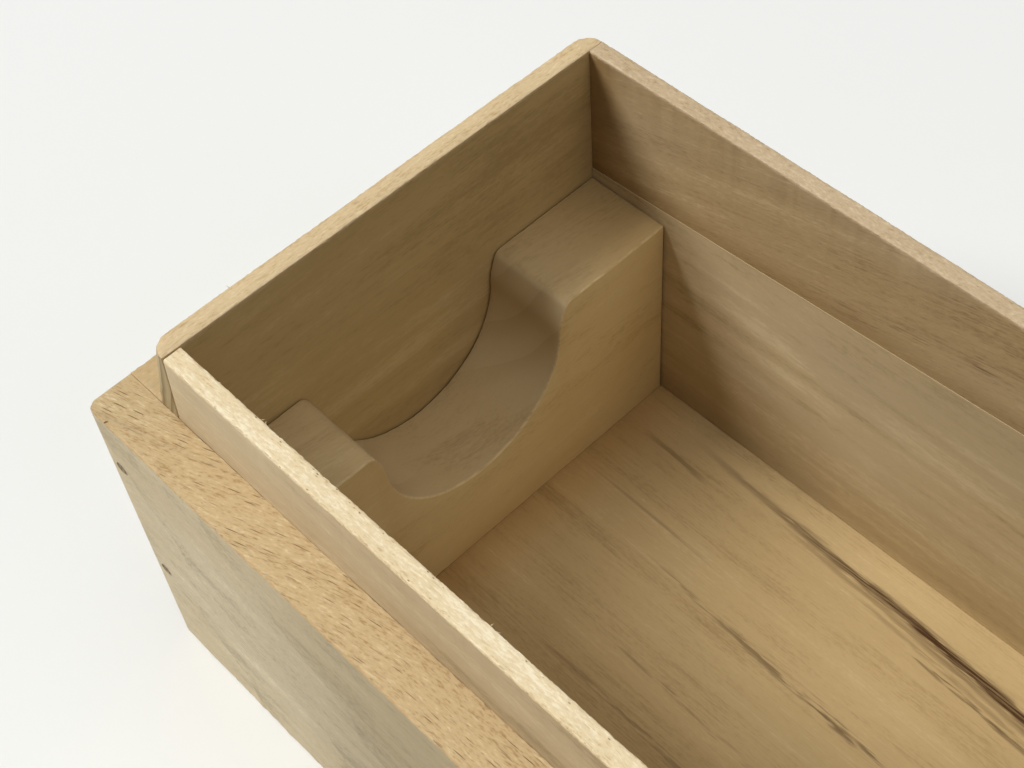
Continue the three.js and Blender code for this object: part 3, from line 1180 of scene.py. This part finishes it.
for name, side in (("left", -1), ("right", 1)):
    node = name + "_end_liner"
    board = addSplinters(makeEndLiner(node, side), node)
    finishPiece(board, endLinerWood, "box", "liner_wood", node)
print("liners made")


# Bottom board, whose upper face is the floor inside

bottom = {
    "ease": 0.15 * mm,
    "easeSegments": 2,
    "support": 0.5 * mm,
    "ringStep": 3 * mm,
}
longStreak = {
    "start": -257, "grown": -203, "end": -120, "side": 30.9, "slope": -0.056, "waver": 0.7,
    "fray": 0.3, "thin": 1.0, "thick": 1.4, "fade": 14, "gaps": 0.2, "gapEdge": 0.2,
    "strength": (0.35, 1.1),
}
fleck = dict(longStreak, slope=-0.05, thin=0.6, thick=0.8, fray=1.2, gaps=0.42, fade=12,
             strength=(0.35, 0.5))
floorLook = dict(
    plainWood,
    seed=31.0, sway=2.0, ringAngle=8, ringSpacing=9, ringWander=14, rings=0.1, bands=0.7,
    fibres=0.6, clouds=0.4, mottle=0.35, fineMottle=0.4,
    colours=((172, 145, 98), (202, 175, 126), (221, 197, 149)),
    tint=(184, 158, 110), pores=0.12, gum=0.3, gumColour=(72, 45, 16),
    drifts=(
        # painted shade: darker towards the left end, by the rest's foot
        paintedLight("X", -253, -266, (240, 226, 204)),
        # painted shadow of the front liner: darker towards the front
        paintedLight("Y", 2, -33, (224, 212, 190)),
        # painted light: the floor short of the back liner a little darker, so a strip along the
        # back liner stays lighter
        paintedLight("Y", 33, 24, (243, 241, 238)),
    ),
    streaks=(
        longStreak,
        dict(longStreak, start=-240, side=28.6, thin=0.5, thick=0.9, strength=(0.3, 0.5)),
        dict(longStreak, start=-226, side=26.4, thin=0.5, thick=0.6, gaps=0.3,
             strength=(0.2, 0.4)),
        dict(longStreak, start=-262, end=-246, side=26.6, thin=0.6, fade=5, strength=(0.45, 0.45)),
        dict(fleck, start=-247, end=-190, side=10.2, gaps=0.38, fade=10, strength=(0.45, 0.7)),
        dict(fleck, start=-231, end=-196, side=9.6, slope=-0.03, thick=0.7, fade=6,
             strength=(0.6, 0.8)),
        dict(fleck, start=-211, end=-180, side=24.4, thin=0.5, thick=0.6, fade=5,
             strength=(0.5, 0.7)),
        dict(fleck, start=-252, end=-195, side=-10.5, slope=-0.04, gaps=0.4),
        dict(fleck, start=-246, end=-200, side=-3.5, slope=-0.04, thin=0.5, thick=0.7),
    ),
)


def makeBottom(node):
    board, low, high = sawBoard(node)
    inset = bottom["support"]
    supportCuts(board, low, high, inset)
    easeArrises(board, bottom["ease"], bottom["easeSegments"])
    ringCuts(board, 0, low.x + inset, high.x - inset, bottom["ringStep"])
    return board


bottomWood = woodMaterial("bottomWood", floorLook)
finishPiece(makeBottom("bottom_board"), bottomWood, "box", "floor_wood", "bottom_board")
print("bottom made")


# Scroll rests: a block with a round saddle notch between two shoulders

rest = {
    "notchRadius": 16.3 * mm,
    "notchOffset": 2.9 * mm,
    "mouthDepth": 5.1,  # the mouth's own values are in millimetres
    "mouthStep": 1.3,
    "mouthFlare": 0.0088,
    "mouthCurve": 1.5,
    "shoulder": 0.9 * mm,
    "shoulderSegments": 4,
    "arcVertices": 96,
    "ease": 0.3 * mm,
    "easeSegments": 3,
    "slice": 1.2 * mm,
    "wear": ((5 * mm, 0.12 * mm), (1.2 * mm, 0.05 * mm)),
}
restLook = dict(
    plainWood,
    seed=43.0, turn=(0, 12, -82), ringAngle=55, ringSpacing=6, rings=0.1, bands=0.65,
    fibres=0.45, clouds=0.8, mottle=0.4, fineMottle=0.4, relief=0.03,
    colours=((204, 174, 117), (226, 202, 148), (236, 218, 170)),
    crossCut=((174, 147, 102), (200, 173, 125), (214, 190, 141)),
    cutDrifts=(
        # painted light and shade: the cut faces a little darker, except at the front shoulder,
        # which stays lighter
        paintedLight("Y", -24, -10, (246, 246, 246)),
        # painted shade: darker towards the back liner
        paintedLight("Y", 16, 30, (242, 236, 224)),
    ),
    endGrain=(204, 181, 140), endGrainLine=(195, 171, 130), tint=(214, 182, 126), pores=0.08,
    # the light arris colour is partly wear and partly a painted highlight along the edges
    gum=0.05, arris=(238, 216, 168), arrisShare=0.35, roundAcross=True,
)


def mouthShare(height):
    # how much wider than the round part the notch is at a height above it
    return 1 + rest["mouthFlare"] * height ** rest["mouthCurve"]


def notchRoller(low, high):
    # a roller as wide as the notch, drawn up into a slot that opens more and more to the top
    arcHeight = high.z - rest["mouthDepth"] * mm
    middle = Vector(((low.x + high.x) / 2, -rest["notchOffset"], arcHeight))
    addRod(rest["arcVertices"], rest["notchRadius"], 2 * (high.x - low.x), middle, alongX)
    roller = settle()
    moveVertices(roller, lambda co: co.z > arcHeight + hair, (0, 0, rest["notchRadius"]))
    count = math.ceil(rest["mouthDepth"] / rest["mouthStep"])
    steps = [rest["mouthStep"] * (index + 1) for index in range(count)]
    for step in steps:
        cutAcross(roller, 2, arcHeight + step * mm)
    for step in steps:
        height = arcHeight + step * mm
        share = (1, mouthShare(step), 1)
        resizeVertices(roller, lambda co: abs(co.z - height) < hair, middle, share)
    resizeVertices(roller, lambda co: co.z > height + hair, middle, share)
    return roller


def makeRest(node):
    board, low, high = sawBoard(node, "_block")
    cutAway(board, notchRoller(low, high))
    mouth = rest["notchRadius"] * mouthShare(rest["mouthDepth"])
    roundEdges(board, lambda a, b: min(a.z, b.z) > high.z - hair and abs(a.x - b.x) > mm
               and abs(a.y + rest["notchOffset"]) < mouth + mm,
               rest["shoulder"], rest["shoulderSegments"])
    easeArrises(board, rest["ease"], rest["easeSegments"], sharp=bench["sharpOnRound"])
    cutEvery(board, 1, low.y, high.y, rest["slice"])
    cutEvery(board, 0, low.x, high.x, rest["slice"])
    wearDown(board, rest["wear"])
    return board


restWood = woodMaterial("restWood", restLook)
for name in ("left", "right"):
    node = name + "_scroll_rest"
    finishPiece(makeRest(node), restWood, "box", "rest_wood", node)
print("rests made")


# Lid: a board on four rims, lying beside the box

lid = {
    "topEdge": 1.2 * mm,
    "topEdgeSegments": 6,
    "support": 2.4 * mm,
    "ease": 0.3 * mm,
    "easeSegments": 3,
    "ringStep": 1.0 * mm,
    "arrisReach": 1.4 * mm,
    "arrisWear": ((2.4 * mm, 0.16 * mm), (0.9 * mm, 0.08 * mm)),
}
lidLook = dict(
    plainWood,
    seed=57.0, ringAngle=80, ringSpacing=5.5, ringWander=14, bands=1.0, clouds=0.3, mottle=0.6,
    colours=((168, 150, 116), (200, 182, 146), (216, 201, 168)),
    tint=(200, 174, 130), pores=0.4, poreShare=0.2, gum=0.15, endGrain=(170, 148, 110),
    endGrainLine=(126, 102, 68), arris=(178, 150, 110), arrisShare=0.4,
)
lidRimLook = dict(lidLook, seed=61.0, ringAngle=-14, ringSpacing=7, rings=0.25)
lidEndRimLook = dict(lidRimLook, seed=66.0, turn=acrossBox)


def makeLidTop(node):
    board, low, high = sawBoard(node)
    roundEdges(board, lambda a, b: abs(a.z - b.z) > mm, wall["cornerRadius"],
               wall["cornerSegments"])
    roundEdges(board, lambda a, b: min(a.z, b.z) > high.z - hair, lid["topEdge"],
               lid["topEdgeSegments"])
    easeArrises(board, lid["ease"], lid["easeSegments"], sharp=bench["sharpOnRound"])
    inset = lid["support"]
    supportCuts(board, low, high, inset, axes=(0, 1))
    ringCuts(board, 0, low.x + inset, high.x - inset, lid["ringStep"])
    wearArrises(board, low, high, lid["arrisReach"], lid["arrisWear"])
    return board


lidWood = woodMaterial("lidWood", lidLook)
lidRimWood = woodMaterial("lidRimWood", lidRimLook)
lidEndRimWood = woodMaterial("lidEndRimWood", lidEndRimLook)
finishPiece(makeLidTop("lid_top"), lidWood, "lid", "lid_wood", "lid_top")
for name, side in longSides:
    node = "lid_" + name + "_rim"
    board = makeLongBoard(node, side, pegsOf("lid", name))
    finishPiece(board, lidRimWood, "lid", "lid_wood", node)
for name in ("left", "right"):
    node = "lid_" + name + "_rim"
    board = makeEndBoard(node, pegsOf("lid", name))
    finishPiece(board, lidEndRimWood, "lid", "lid_wood", node)
print("lid made")
